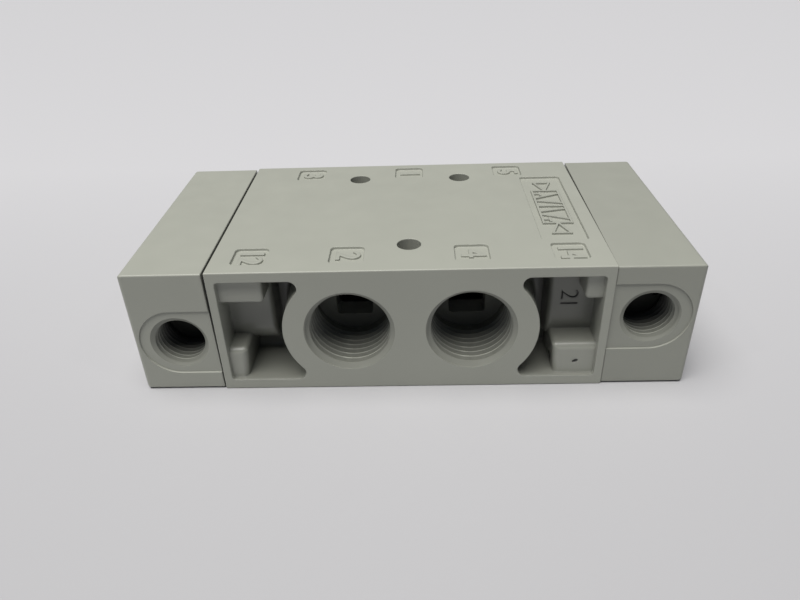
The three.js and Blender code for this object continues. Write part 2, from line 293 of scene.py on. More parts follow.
def thread_bar(name, origin, axis, thread, begin, end, lead=0.0, tapered=False, segments=FINE):
    """A round bar with a right-hand thread that runs out before end, and at begin too if it is tapered.

    It cuts a tapped hole or covers a screw's shank. At the bottom a crest lies at lead."""
    inner = thread["minor"] / 2
    height = (thread["major"] - thread["minor"]) / 2
    pitch = thread["pitch"]
    per_turn = len(THREAD_OUTLINE)
    turns = math.ceil((end - begin) / pitch)
    start = end - turns * pitch
    rows = (turns - 1) * per_turn
    first_angle = DOWNWARDS - math.tau * (lead - start) / pitch
    first, second = across(axis)

    def share(along):
        past = (end - pitch - along) / (0.5 * pitch)
        if tapered:
            past = min(past, (along - start - pitch) / (0.5 * pitch))
        return min(max(past, 0), 1)

    points = []
    for row in range(rows + 1):
        turn, step = divmod(row, per_turn)
        phase, out = THREAD_OUTLINE[step]
        for i in range(segments):
            angle = first_angle + math.tau * i / segments
            along = start + (turn + phase + i / segments) * pitch
            reach = inner + height * out * share(along)
            sideways = first * math.cos(angle) + second * math.sin(angle)
            points.append(origin + axis * along + sideways * reach)
    centres = (len(points), len(points) + 1)
    points.append(origin + axis * (start + pitch / 2))
    points.append(origin + axis * (end - pitch / 2))

    def at(row, i):
        return row * segments + i

    last = segments - 1
    faces = []
    for row in range(rows):
        for i in range(last):
            faces.append((at(row, i), at(row, i + 1), at(row + 1, i + 1), at(row + 1, i)))
        if row + per_turn < rows:
            after = row + per_turn
            faces.append((at(row, last), at(after, 0), at(after + 1, 0), at(row + 1, last)))
    near = [at(0, i) for i in range(segments)] + [at(row, 0) for row in range(per_turn, 0, -1)]
    far = [at(rows, i) for i in range(segments)] + [at(rows - row, last) for row in range(1, per_turn + 1)]
    for centre, edge in zip(centres, (near, far)):
        for i, point in enumerate(edge):
            faces.append((centre, point, edge[(i + 1) % len(edge)]))
    return solid(name, points, faces, MACHINED)


def port_cutters(name, mouth, inward, thread, depth, cone, lead, segments=FINE):
    """What a tapped blind port takes out: the thread, and a core with the mouth's shallow cone."""
    slack = 0.3
    plain = 0.9
    core = thread["minor"] / 2 - slack
    end = thread["minor"] / 2 + 0.02
    cone_depth = CONE_SLOPE * (cone - core)
    profile = [
        (-1, cone), (0, cone), (cone_depth, core), (depth - plain - slack, core), (depth - plain, end),
        (depth, end)]
    start = -thread["pitch"] - slack
    return [
        thread_bar(name + " thread", mouth, inward, thread, start, depth - 0.05, lead, segments=segments),
        turned(name + " core", mouth, inward, profile, segments, MACHINED),
    ]


# Casting pockets

POCKET = {
    "floor": 2.65, "ceiling": 29.5, "outer": 43.05, "boss_x": 14.0, "boss_radius": 15.4,
    "top_radius": 1.9, "bottom_radius": 1.9, "outer_radius": 0.8, "depth": 14.0,
}
DRAFT = math.tan(math.radians(1.3))
# The back panel's near and low limits, how far behind the body's front the panel and the bosses begin, and
# how far blocks run past the pocket's walls
PANEL_LOW = (32.3, 7.6)
PANEL_SETBACK = 7.3
UPPER_SETBACK = 1.5
LOWER_SETBACK = 1.2
CAST_PAST = 1.5
LOWER_BOSS_TOP = 10.8
# Near and low limits of each pocket's upper boss, and the near limit of its lower boss
UPPER_BOSS = {"left": (33.0, 23.3), "right": (39.2, 22.9)}
LOWER_BOSS_X = {"left": 38.7, "right": 33.1}
PIT_PLACE = Vector((38.6, FRONT_Y + LOWER_SETBACK, 6.05))
PIT_RADII = (0.72, 0.5, 0.42)
PIT_TURN = math.radians(-24)


def boss_corner(level, inset, radius, side):
    """Centre and radius of the corner that blends a flat wall at some level into the port's round boss."""
    corner = max(radius - inset, 0.12)
    z = level - side * (inset + corner)
    reach = POCKET["boss_radius"] + inset + corner
    x = POCKET["boss_x"] + math.sqrt(reach ** 2 - (z - AXIS_Z) ** 2)
    angle = math.degrees(math.atan2(z - AXIS_Z, x - POCKET["boss_x"]))
    return (x, z), corner, angle


def pocket_outline(inset):
    """The right pocket's outline in X and Z, moved inwards by inset, from the lower boss corner round."""
    low, low_radius, low_angle = boss_corner(POCKET["floor"], inset, POCKET["bottom_radius"], -1)
    high, high_radius, high_angle = boss_corner(POCKET["ceiling"], inset, POCKET["top_radius"], 1)
    outer = max(POCKET["outer_radius"] - inset, 0.12)
    outer_x = POCKET["outer"] - inset - outer
    floor = POCKET["floor"] + inset + outer
    ceiling = POCKET["ceiling"] - inset - outer
    points = arc(low, low_radius, 180 + low_angle, 270, 8)
    points += arc((outer_x, floor), outer, -90, 0, 6)
    points += arc((outer_x, ceiling), outer, 0, 90, 6)
    points += arc(high, high_radius, 90, 180 + high_angle, 10)
    boss = (POCKET["boss_x"], AXIS_Z)
    points += arc(boss, POCKET["boss_radius"] + inset, high_angle, low_angle, 40)[1:-1]
    return points


def depth_rings(outline, stations):
    """Rings of an outline at (depth behind the front face, inset) stations."""
    return [[Vector((u, FRONT_Y + depth, v)) for u, v in outline(inset)] for depth, inset in stations]


def pocket_void(name):
    """The whole pocket with a rounded mouth, drafted walls and a fillet round its back."""
    lip = 0.12
    fillet = 1.0
    depth = POCKET["depth"]
    stations = [(-1, -lip)]
    for a, b in quarter(5):
        stations.append((lip * b, -lip * a))
    for a, b in quarter(6):
        stations.append((depth - fillet * a, DRAFT * (depth - fillet) + fillet * b))
    return loft(name, depth_rings(pocket_outline, stations), RECESSED)


def rounding(depth, radius):
    """How far a round edge stands in from its side, at a depth below the front of the block."""
    left = max(radius - depth, 0)
    return radius - math.sqrt(radius ** 2 - left ** 2)


def raised_block(name, low, high, front, edge, foot=None, lean=0.0):
    """A drafted block that stands up from a pocket's back, with round edges towards the front.

    foot is the radius of its lower edge; lean is how far its inner side is moved outwards at the bottom."""
    foot = foot or edge
    depths = {0.0, POCKET["depth"] + CAST_PAST - front}
    for radius in (edge, foot):
        depths.update(round(radius * b, 4) for _, b in quarter(7)[1:])
    rings = []
    for depth in sorted(depths):
        draft = DRAFT * depth
        side = rounding(depth, edge) - draft
        bottom = rounding(depth, foot) - draft
        corner = max(1.0 - side, 0.12)
        outline = rounded_rectangle(
            (low[0] + side, low[1] + bottom), (high[0] - side, high[1] - side), corner)
        ring = []
        for u, v in outline:
            share = (high[0] - u) / (high[0] - low[0]) * (high[1] - v) / (high[1] - low[1])
            ring.append(Vector((u + lean * share, FRONT_Y + front + depth, v)))
        rings.append(ring)
    return loft(name, rings, RECESSED)


def casting_pit():
    """A small blowhole in the front of the right pocket's lower boss."""
    bpy.ops.mesh.primitive_ico_sphere_add(subdivisions=3, radius=1)
    pit = bpy.context.object
    pit.name = "casting pit"
    pit.data.transform(Matrix.Diagonal((*PIT_RADII, 1)))
    pit.data.transform(Matrix.Rotation(PIT_TURN, 4, "Y"))
    pit.data.transform(Matrix.Translation(PIT_PLACE))
    pit.data.transform(Matrix.Scale(MM, 4))
    # the pit is coloured dark as painted shade
    for face in pit.data.polygons:
        face.material_index = SHADED_MARKS
    return pit


def pocket_cutter(side):
    """The pocket less its back panel and its upper and lower screw bosses."""
    outer = POCKET["outer"] + CAST_PAST
    ceiling = POCKET["ceiling"] + CAST_PAST
    floor = POCKET["floor"] - CAST_PAST
    high = (outer, ceiling)
    lower_low = (LOWER_BOSS_X[side], floor)
    blocks = [
        raised_block("panel", PANEL_LOW, high, PANEL_SETBACK, edge=1.3, foot=6.0),
        raised_block("upper boss", UPPER_BOSS[side], high, UPPER_SETBACK, edge=0.8),
        raised_block("lower boss", lower_low, (outer, LOWER_BOSS_TOP), LOWER_SETBACK, edge=1.5, lean=0.8),
    ]
    cutter = combine(pocket_void("pocket"), cutters=blocks)
    if side == "left":
        move(cutter, Matrix.Scale(-1, 4, X_AXIS))
        cutter.data.flip_normals()
    return cutter


# Numbers and the symbol on the top face

LABEL_SIZE = 7.8
LABEL_CORNER = 1.1
LABEL_DEPTH = 0.66
LABELS = {
    "3": (-28.3, 25.6), "1": (-0.2, 25.6), "5": (27.8, 25.6),
    "12": (-36.2, -24.3), "2": (-14.1, -24.3), "4": (14.2, -24.3), "14": (36.2, -24.3),
}
FIGURE_SIZE = 7.9
FIGURE_MIDDLE_Z = TOP_Z - 0.6
# Numerals lie with their tops towards +X, and the cavity number stands on the pocket's panel the same way
LABEL_TURN = Matrix.Rotation(-math.pi / 2, 4, "Z")
CAVITY_TURN = Matrix(((0, 1, 0, 0), (0, 0, -1, 0), (-1, 0, 0, 0), (0, 0, 0, 1)))
CAVITY_PLACE = Vector((36.9, FRONT_Y + PANEL_SETBACK, 19.5))
SYMBOL_LOW = (30.8, -18.8)
SYMBOL_HIGH = (41.7, 20.4)
SYMBOL_CORNER = 0.7
SYMBOL_LINE = 0.55


def recess_cutter(name, low, high, corner):
    """A shallow drafted recess in the top face."""
    wall = 0.14
    rings = []
    for z, inset in (
            (TOP_Z + 1, -wall), (TOP_Z, -wall), (TOP_Z - 0.04, -0.05), (TOP_Z - 0.14, 0),
            (TOP_Z - LABEL_DEPTH + 0.08, 0.06), (TOP_Z - LABEL_DEPTH, wall)):
        outline = shrunk_rectangle(low, high, corner, inset)
        rings.append([Vector((u, v, z)) for u, v in outline])
    return loft(name, rings)


def figures(text, size, spacing, weight, thickness, matrix, index=PAINTED):
    """Figures in the built-in face as a solid, laid out by a matrix; weight makes the strokes bolder."""
    curve = bpy.data.curves.new("figures " + text, "FONT")
    curve.body = text
    curve.size = size
    curve.space_character = spacing
    curve.align_x = "CENTER"
    curve.align_y = "CENTER"
    curve.offset = weight
    curve.extrude = thickness
    curve.bevel_depth = 0.1
    curve.bevel_resolution = 2
    curve.resolution_u = 6
    obj = new_object(curve.name, curve)
    mesh = evaluated_mesh(obj)
    bpy.data.objects.remove(obj)
    bpy.data.curves.remove(curve)
    shape = bmesh.new()
    shape.from_mesh(mesh)
    bmesh.ops.remove_doubles(shape, verts=shape.verts, dist=0.001)
    bmesh.ops.recalc_face_normals(shape, faces=shape.faces)
    shape.to_mesh(mesh)
    shape.free()
    mesh.transform(matrix)
    mesh.transform(Matrix.Scale(MM, 4))
    for face in mesh.polygons:
        face.material_index = index
    return new_object("figures " + text, mesh)


def numeral(text, x, y):
    """Raised figures in their recess in the top face."""
    laid = Matrix.Translation((x, y, FIGURE_MIDDLE_Z)) @ LABEL_TURN
    return figures(text, FIGURE_SIZE, spacing=0.86, weight=0.0, thickness=0.3, matrix=laid)


def cavity_number():
    """A die's cavity number cut in the back panel of the right pocket, read from the right."""
    stood = Matrix.Translation(CAVITY_PLACE) @ CAVITY_TURN
    # the cut figures are coloured dark as painted shade
    return figures("21", size=6.0, spacing=0.8, weight=-0.2, thickness=0.25, matrix=stood, index=SHADED_MARKS)


def bar(name, start, end, width):
    """A raised line of the symbol between two points of the top face."""
    start = Vector((*start, 0))
    end = Vector((*end, 0))
    along = (end - start).normalized() * width / 2
    side = Vector((-along.y, along.x, 0))
    corners = [start - along - side, end + along - side, end + along + side, start - along + side]
    top = TOP_Z - 0.16
    soft = 0.08
    rings = []
    for z, inset in ((TOP_Z - LABEL_DEPTH - 0.25, 0), (top - soft, 0), (top, soft)):
        middle = sum(corners, Vector()) / 4
        rings.append([
            corner + Vector((0, 0, z)) + (middle - corner).normalized() * inset for corner in corners])
    return loft(name, rings)


def symbol_lines():
    """Start and end points of the circuit symbol: two squares with their arrows and a pilot at each end."""
    middle_x = (SYMBOL_LOW[0] + SYMBOL_HIGH[0]) / 2
    middle_y = (SYMBOL_LOW[1] + SYMBOL_HIGH[1]) / 2
    half = 3.4
    square = 10.0
    pilot = 5.6
    narrow = half * 0.62
    stub = -half * 0.45

    def at(u, v):
        return (middle_x + v, middle_y - u)

    lines = []
    for u in (-square, 0, square):
        lines.append((at(u, -half), at(u, half)))
    for v in (-half, half):
        lines.append((at(-square, v), at(square, v)))
    for sign in (-1, 1):
        tip = sign * square
        end = sign * (square + pilot)
        lines.append((at(tip, 0), at(end, narrow)))
        lines.append((at(tip, 0), at(end, -narrow)))
        lines.append((at(end, narrow), at(end, -narrow)))
    for start in (-square, 0):
        left, centre, right = start + 2, start + square / 2, start + square - 2
        lean = -1 if start < 0 else 1
        first = (centre, right) if lean > 0 else (centre, left)
        second = (left, left) if lean > 0 else (right, right)
        lines.append((at(first[0], -half), at(first[1], half)))
        lines.append((at(second[0] + lean * 1.4, -half), at(second[1] - lean * 0.2, half)))
        stop = right if lean > 0 else left
        lines.append((at(stop, -half), at(stop, stub)))
        lines.append((at(stop - 0.9, stub), at(stop + 0.9, stub)))
    return lines


# Body

BODY_CORNER = 0.3
BODY_END_ROUNDS = (0.25, 0.1)
MOUNT_HOLES = ((-14.0, 21.3), (14.0, 21.3), (0.0, -19.7))
PORT_DEPTH = 16.0
PORT_CONE = 10.5
PORT_LEAD = 0.94
CHAMBERS = (-28.0, -14.0, 0.0, 14.0, 28.0)
CHAMBER_WIDTH = 9.2
CHAMBER_RADIUS = 11.5
BORE_RADIUS = 9.0
WINDOW_WIDTH = 9.2
WINDOW_HEIGHT = 10.5
HOLE_RADIUS = 2.8
TAPPED_RADIUS = 2.1
SCREW_NODES = ("left_front_screw", "left_rear_screw", "right_front_screw", "right_rear_screw")


def rounded_bar(name, low, high, corner, end_rounds, closing=None):
    """A block drawn along X with round long edges; end_rounds gives the radius at its low and high ends.

    closing says how far its low end reaches further out, from the place on that end."""
    first, last = end_rounds
    steps = 6
    stations = []
    for a, b in quarter(steps):
        stations.append((low.x + first * b, first * a))
    for a, b in quarter(steps):
        stations.append((high.x - last * a, last * b))
    rings = []
    for i, (x, inset) in enumerate(stations):
        outline = shrunk_rectangle((low.y, low.z), (high.y, high.z), corner, inset)
        reach = closing if closing and i <= steps else lambda u, v: 0
        rings.append([Vector((x - reach(u, v), u, v)) for u, v in outline])
    return loft(name, rings)


def main_port(number):
    """The cutters of one main port: its tapped hole and the cast window behind it."""
    low, high = opening_mm("port_" + number)
    x = (low.x + high.x) / 2
    inward = Y_AXIS if low.y < 0 else -Y_AXIS
    mouth = Vector((x, -inward.y * BODY_HIGH.y, AXIS_Z))
    holes = port_cutters("port " + number, mouth, inward, G_HALF, PORT_DEPTH, PORT_CONE, PORT_LEAD)
    half_width = WINDOW_WIDTH / 2
    half_height = WINDOW_HEIGHT / 2
    low_corner = (x - half_width, AXIS_Z - half_height)
    high_corner = (x + half_width, AXIS_Z + half_height)
    rings = []
    for depth, inset in ((PORT_DEPTH - 1, 0), (BODY_HIGH.y - 8, 0.15)):
        outline = shrunk_rectangle(low_corner, high_corner, 0.9, inset)
        rings.append([Vector((u, mouth.y + inward.y * depth, v)) for u, v in outline])
    return [*holes, loft("window " + number, rings)]


def bore_cutter():
    """The honed spool bore with its five ring chambers."""
    end = BODY_HIGH.x + 1
    lead = 0.6
    edge = 0.35
    profile = [(-end, BORE_RADIUS + lead), (BODY_LOW.x, BORE_RADIUS + lead)]
    profile.append((BODY_LOW.x + lead, BORE_RADIUS))
    for centre in CHAMBERS:
        left = centre - CHAMBER_WIDTH / 2
        right = centre + CHAMBER_WIDTH / 2
        profile += [
            (left - edge, BORE_RADIUS), (left, BORE_RADIUS + edge), (left, CHAMBER_RADIUS),
            (right, CHAMBER_RADIUS), (right, BORE_RADIUS + edge), (right + edge, BORE_RADIUS)]
    profile.append((BODY_HIGH.x - lead, BORE_RADIUS))
    profile += [(BODY_HIGH.x, BORE_RADIUS + lead), (end, BORE_RADIUS + lead)]
    return turned("spool bore", SPOOL_LINE, X_AXIS, profile, FINE, MACHINED)


def mount_hole(x, y):
    """A plain fastening hole right through, broken at both edges."""
    edge = 0.1
    wide = HOLE_RADIUS + edge
    profile = [
        (BODY_LOW.z - 1, wide), (BODY_LOW.z, wide), (BODY_LOW.z + edge, HOLE_RADIUS),
        (TOP_Z - edge, HOLE_RADIUS), (TOP_Z, wide), (TOP_Z + 1, wide)]
    return turned(f"hole {x} {y}", Vector((x, y, 0)), Z_AXIS, profile, MEDIUM)


def screw_line(node):
    """A point on a screw's line, in the plane X = 0."""
    low, high = box_mm(node)
    return Vector((0, (low.y + high.y) / 2, (low.z + high.z) / 2))


def tapped_hole(node):
    """The hole that one cover screw bites into."""
    *_, outward = round_piece(node)
    wide = TAPPED_RADIUS + 0.3
    profile = [
        (33.0, 0.1), (34.0, TAPPED_RADIUS), (BODY_HIGH.x - 0.3, TAPPED_RADIUS), (BODY_HIGH.x, wide),
        (BODY_HIGH.x + 1, wide)]
    return turned("tapped " + node, screw_line(node), outward, profile, SMALL, MACHINED)


def make_body(materials):
    """The die-cast body with all its ports, pockets, passages and figures."""
    body = rounded_bar("painted_body", BODY_LOW, BODY_HIGH, BODY_CORNER, BODY_END_ROUNDS)
    cutters = [bore_cutter()]
    for number in ("2", "4", "1", "3", "5"):
        cutters += main_port(number)
    cutters += [pocket_cutter(side) for side in SIDES]
    cutters += [casting_pit(), cavity_number()]
    cutters += [mount_hole(x, y) for x, y in MOUNT_HOLES]
    cutters += [tapped_hole(node) for node in SCREW_NODES]
    half = LABEL_SIZE / 2
    for text, (x, y) in LABELS.items():
        low = (x - half, y - half)
        high = (x + half, y + half)
        cutters.append(recess_cutter("recess " + text, low, high, LABEL_CORNER))
    cutters.append(recess_cutter("symbol recess", SYMBOL_LOW, SYMBOL_HIGH, SYMBOL_CORNER))
    additions = [numeral(text, x, y) for text, (x, y) in LABELS.items()]
    for i, (start, end) in enumerate(symbol_lines()):
        additions.append(bar(f"symbol {i}", start, end, SYMBOL_LINE))
    finish(combine(body, cutters, additions), materials, "valve_body", "housing")


# End covers and their pieces, drawn at the right end

# How far each cover closes the joint, from the place in it at the right end: the right one is tight in
# front and open at the rear, the left one open towards the top, which is the bottom before its half turn
JOINT_CLOSING = {
    "right": lambda y, z: 0.08 - 0.3 * y / COVER_HIGH.y,
    "left": lambda y, z: 0.4 * z / COVER_HIGH.z - 0.2,
}
JOINT_EDGE = {"right": 0.1, "left": 0.25}
GASKET_CLEARANCE = {"right": 0.39, "left": 0.25}
COVER_CORNER = 0.4
COVER_END_ROUND = 1.1
CYLINDER_RADIUS = 12.0
CYLINDER_END = 57.7
BUMPER_RADIUS = 9.0
BUMPER_END = 60.2
CLEARANCE_RADIUS = 2.25
COUNTERBORE_RADIUS = 3.75
PASSAGE_X = 58.6
PASSAGE_RADIUS = 1.0
SCREW_HEAD = 4.0
PAD_DEPTH = 0.35
PAD_RADIUS = 8.6
PAD_X = 54.6
PILOT_DEPTH = 11.0
PILOT_CONE = 6.8
PILOT_LEAD = {"right": 0.2, "left": 0.85}


def pilot_place():
    """X and Z of the right pilot port's axis."""
    low, high = opening_mm("pilot_14")
    return (low.x + high.x) / 2, (low.z + high.z) / 2


def pad_cutter():
    """The shallow pad round the pilot port: straight sides from the joint and one round end."""
    _, z = pilot_place()
    soft = 0.06

    def outline(inset):
        radius = PAD_RADIUS - inset
        points = arc((PAD_X, z), radius, -90, 90, 40)
        return [(COVER_LOW.x - 1, z - radius), *points, (COVER_LOW.x - 1, z + radius)]

    rings = []
    for depth, inset in ((-1, -soft), (0, -soft), (soft, 0), (PAD_DEPTH, soft)):
        rings.append([Vector((u, COVER_FRONT_Y + depth, v)) for u, v in outline(inset)])
    return loft("pad", rings)


def cylinder_cutter():
    """The pilot cylinder and the smaller pocket at its end that holds the bumper."""
    lead = 0.5
    profile = [
        (COVER_LOW.x - 1, CYLINDER_RADIUS + lead), (COVER_LOW.x, CYLINDER_RADIUS + lead),
        (COVER_LOW.x + lead, CYLINDER_RADIUS), (CYLINDER_END, CYLINDER_RADIUS),
        (CYLINDER_END, BUMPER_RADIUS), (BUMPER_END, BUMPER_RADIUS)]
    return turned("pilot cylinder", SPOOL_LINE, X_AXIS, profile, FINE, MACHINED)


def screw_hole(node):
    """Clearance hole and counterbore for one screw of the right cover."""
    _, high = box_mm(node)
    end = COVER_HIGH.x
    seat = high.x - SCREW_HEAD
    edge = 0.25
    wide = COUNTERBORE_RADIUS + edge
    profile = [
        (COVER_LOW.x - 1, CLEARANCE_RADIUS), (seat, CLEARANCE_RADIUS), (seat, COUNTERBORE_RADIUS),
        (end - edge, COUNTERBORE_RADIUS), (end, wide), (end + 1, wide)]
    return turned("hole " + node, screw_line(node), X_AXIS, profile, MEDIUM, MACHINED)


def passage_cutter():
    """The drilled hole from the pilot port's floor to the end of the cylinder."""
    _, z = pilot_place()
    profile = [(PILOT_DEPTH - 1, PASSAGE_RADIUS), (-COVER_FRONT_Y, PASSAGE_RADIUS)]
    return turned("passage", Vector((PASSAGE_X, COVER_FRONT_Y, z)), Y_AXIS, profile, SMALL, MACHINED)


def make_cover(side, materials):
    """One end cover; the left one is the right one turned half a turn."""
    x, z = pilot_place()
    rounds = (JOINT_EDGE[side], COVER_END_ROUND)
    cover = rounded_bar(
        f"painted_{side}_cover", COVER_LOW, COVER_HIGH, COVER_CORNER, rounds, JOINT_CLOSING[side])
    mouth = Vector((x, COVER_FRONT_Y + PAD_DEPTH, z))
    depth = PILOT_DEPTH - PAD_DEPTH
    cutters = [
        cylinder_cutter(),
        pad_cutter(),
        *port_cutters(
            "pilot port", mouth, Y_AXIS, G_QUARTER, depth, PILOT_CONE, PILOT_LEAD[side], MEDIUM),
        passage_cutter(),
        screw_hole("right_front_screw"),
        screw_hole("right_rear_screw"),
    ]
    combine(cover, cutters)
    if side == "left":
        move(cover, HALF_TURN)
    finish(cover, materials, side + "_end_cover", "housing")


def make_gasket(side, material):
    """The thin sheet between body and cover, a little inside both and clear of the cover's closing face."""
    low, high = box_mm(side + "_gasket")
    shrink = Vector((0, 0.2, 0.2))
    if side == "right":
        high.x -= GASKET_CLEARANCE[side]
    else:
        low.x += GASKET_CLEARANCE[side]
    sheet = rounded_bar(
        side + "_gasket_sheet", low + shrink, high - shrink, corner=0.6, end_rounds=(0.03, 0.03))
    middle = CYLINDER_RADIUS + 0.2
    cutters = [turned("middle", SPOOL_LINE, X_AXIS, ((low.x - 1, middle), (high.x + 1, middle)), FINE)]
    hole = ((low.x - 1, CLEARANCE_RADIUS), (high.x + 1, CLEARANCE_RADIUS))
    for end in ("front", "rear"):
        cutters.append(turned(end, screw_line(f"{side}_{end}_screw"), X_AXIS, hole, SMALL))
    finish(combine(sheet, cutters), (material,), side + "_gasket", "housing")


def make_screw(node, material):
    """An M4 socket head screw with its thread, knurled head and hexagon socket."""
    tip, top, head, outward = round_piece(node)
    line = screw_line(node)
    seat = top - SCREW_HEAD
    shank = M4["minor"] / 2 - 0.02
    plain = M4["major"] / 2
    hexagon = 3 / math.sqrt(3)

    def knurl(turn):
        return head - 0.06 * (0.5 + 0.5 * math.cos(turn * 32))

    rings = [circle(line, outward, along, radius, 128) for along, radius in (
        (tip, 1.4), (tip + 0.25, shank), (seat - 4, shank), (seat - 3.6, plain), (seat, plain),
        (seat, head - 0.25), (seat + 0.25, knurl), (top - 0.5, knurl), (top - 0.3, head - 0.08),
        (top, head - 0.4))]
    screw = loft(node.replace("_screw", "_cap_screw"), rings)
    socket_profile = ((top - 2.4, 0.3), (top - 2.0, hexagon), (top - 0.2, hexagon), (top + 1, 2.6))
    socket = turned("socket", line, outward, socket_profile, 6)
    thread = thread_bar("thread", line, outward, M4, tip + 0.1, seat - 3.2, 0, True, SMALL)
    for face in thread.data.polygons:
        face.material_index = PAINTED
    finish(combine(screw, [socket], [thread]), (material,), node, "housing")


def make_piston(side, material):
    """A pilot piston with its stem, a disc with a ring groove, and a dished outer face.

    The left one is drawn at the right end and turned half a turn."""
    near, far, radius, _ = round_piece(side + "_piston")
    stem = 6.0
    groove = 9.8
    disc = far - 4.6
    groove_near = disc + 1.0
    groove_far = disc + 3.6
    edge = 0.25
    relief = 0.2
    dish = far - 0.5
    profile = [
        (near, stem - 0.8), (near + 0.8, stem), (disc - 0.5, stem), (disc, stem + 0.5),
        (disc, radius - edge), (disc + edge, radius), (groove_near, radius),
        (groove_near, groove + relief), (groove_near + relief, groove), (groove_far - relief, groove),
        (groove_far, groove + relief), (groove_far, radius), (far - edge, radius), (far, radius - edge),
        (far, 7.4), (dish, 6.9), (dish, 1.5)]
    piston = turned(side + "_pilot_piston", SPOOL_LINE, X_AXIS, profile, FINE)
    if side == "left":
        move(piston, HALF_TURN)
    finish(piston, (material,), side + "_piston", side + "_piston", 28)


def make_ring(node, name, body, material):
    """A rubber ring that fills a node's box: round section, pressed a little flat where it seals."""
    low, high = box_mm(node)
    middle = (low.x + high.x) / 2
    half = (high.x - low.x) / 2
    outer = (high.z - low.z) / 2
    centre = outer - half * 0.98
    steps = 20
    section = []
    for i in range(steps):
        angle = math.tau * i / steps
        reach = centre + half * math.sin(angle)
        section.append((middle + half * math.cos(angle), min(reach, outer)))
    ring = turned(name, SPOOL_LINE, X_AXIS, section, FINE, closed=True)
    finish(ring, (material,), node, body, 60)


def make_bumper(side, material):
    """The rubber stop at the end of a pilot cylinder, domed towards the piston."""
    inner, outer, radius, outward = round_piece(side + "_bumper")
    soft = 1.2
    profile = [(inner, 1.0), (inner, radius - soft)]
    profile += [(inner + 0.9 * b, radius - soft * a) for a, b in quarter(6)[1:]]
    profile.append((outer, radius))
    stop = turned(side + "_rubber_stop", SPOOL_LINE, outward, profile, MEDIUM)
    finish(stop, (material,), side + "_bumper", "housing", 40)


def make_spool(material):
    """The turned spool: a waisted shaft with a grooved land under each ring."""
    low, high = box_mm("spool")
    radius = (high.z - low.z) / 2
    waist = 5.0
    groove = 7.0
    half_groove = 1.3
    half_land = 2.5
    shoulder = 0.6
    edge = 0.2
    centres = []
    for i in range(6):
        ring_low, ring_high = box_mm(f"spool_seal_{i + 1}")
        centres.append((ring_low.x + ring_high.x) / 2)
    profile = [(low.x + 1.2, 2.0), (low.x, 3.2), (low.x, radius - 0.6), (low.x + 0.6, radius)]
    for i, centre in enumerate(centres):
        start = centre - half_land
        end = centre + half_land
        left = centre - half_groove
        right = centre + half_groove
        if i:
            profile += [
                (start - shoulder, waist), (start, waist + shoulder), (start, radius - edge),
                (start + edge, radius)]
        profile += [
            (left, radius), (left, groove + edge), (left + edge, groove), (right - edge, groove),
            (right, groove + edge), (right, radius)]
        if i < len(centres) - 1:
            profile += [
                (end - edge, radius), (end, radius - edge), (end, waist + shoulder), (end + shoulder, waist)]
    profile += [(high.x - 0.6, radius), (high.x, radius - 0.6), (high.x, 3.2), (high.x - 1.2, 2.0)]
    shaft = turned("spool_shaft", SPOOL_LINE, X_AXIS, profile, FINE)
    finish(shaft, (material,), "spool", "spool", 28)


# Materials

def scaled(colour, factor):
    """A colour made lighter or darker, held below white."""
    return tuple(min(c * factor, 1) for c in colour)


def new_material(name):
    """A material with its Principled shader and a coordinate in metres."""
    material = bpy.data.materials.new(name)
    material.use_nodes = True
    tree = material.node_tree
    shader = tree.nodes["Principled BSDF"]
    place_node = tree.nodes.new("ShaderNodeTexCoord")
    return material, tree, shader, place_node.outputs["Object"]


def noise(tree, where, scale, detail=3.0, roughness=0.5, stretch=None):
    """A noise value between 0 and 1."""
    texture = tree.nodes.new("ShaderNodeTexNoise")
    texture.inputs["Scale"].default_value = scale
    texture.inputs["Detail"].default_value = detail
    texture.inputs["Roughness"].default_value = roughness
    if stretch:
        mapping = tree.nodes.new("ShaderNodeMapping")
        mapping.inputs["Scale"].default_value = stretch
        tree.links.new(where, mapping.inputs["Vector"])
        where = mapping.outputs["Vector"]
    tree.links.new(where, texture.inputs["Vector"])
    return texture.outputs["Fac"]


def to_range(tree, value, from_low, from_high, to_low, to_high):
    """A value taken from one range to another and held inside it."""
    node = tree.nodes.new("ShaderNodeMapRange")
    node.inputs["From Min"].default_value = from_low
    node.inputs["From Max"].default_value = from_high
    node.inputs["To Min"].default_value = to_low
    node.inputs["To Max"].default_value = to_high
    tree.links.new(value, node.inputs["Value"])
    return node.outputs["Result"]


def blend_colour(tree, amount, first, second):
    """A mix of two colours, each given as numbers or as a socket."""
    node = tree.nodes.new("ShaderNodeMix")
    node.data_type = "RGBA"
    tree.links.new(amount, node.inputs[0])
    for socket, colour in ((node.inputs[6], first), (node.inputs[7], second)):
        if isinstance(colour, tuple):
            socket.default_value = (*colour, 1)
        else:
            tree.links.new(colour, socket)
    return node.outputs[2]


def bump(tree, height, distance, strength, normal=None):
    """A bumped normal from a height value."""
    node = tree.nodes.new("ShaderNodeBump")
    node.inputs["Distance"].default_value = distance
    node.inputs["Strength"].default_value = strength
    tree.links.new(height, node.inputs["Height"])
    if normal is not None:
        tree.links.new(normal, node.inputs["Normal"])
    return node.outputs["Normal"]


def soft_edges(tree, radius):
    """A normal that rolls over edges, and how close a point is to an edge."""
    node = tree.nodes.new("ShaderNodeBevel")
    node.samples = 4
    node.inputs["Radius"].default_value = radius
    geometry = tree.nodes.new("ShaderNodeNewGeometry")
    dot = tree.nodes.new("ShaderNodeVectorMath")
    dot.operation = "DOT_PRODUCT"
    tree.links.new(node.outputs["Normal"], dot.inputs[0])
    tree.links.new(geometry.outputs["Normal"], dot.inputs[1])
    return node.outputs["Normal"], to_range(tree, dot.outputs["Value"], 1.0, 0.75, 0.0, 1.0)


def parts_of(tree, vector):
    """The X, Y and Z of a vector."""
    node = tree.nodes.new("ShaderNodeSeparateXYZ")
    tree.links.new(vector, node.inputs["Vector"])
    return node.outputs


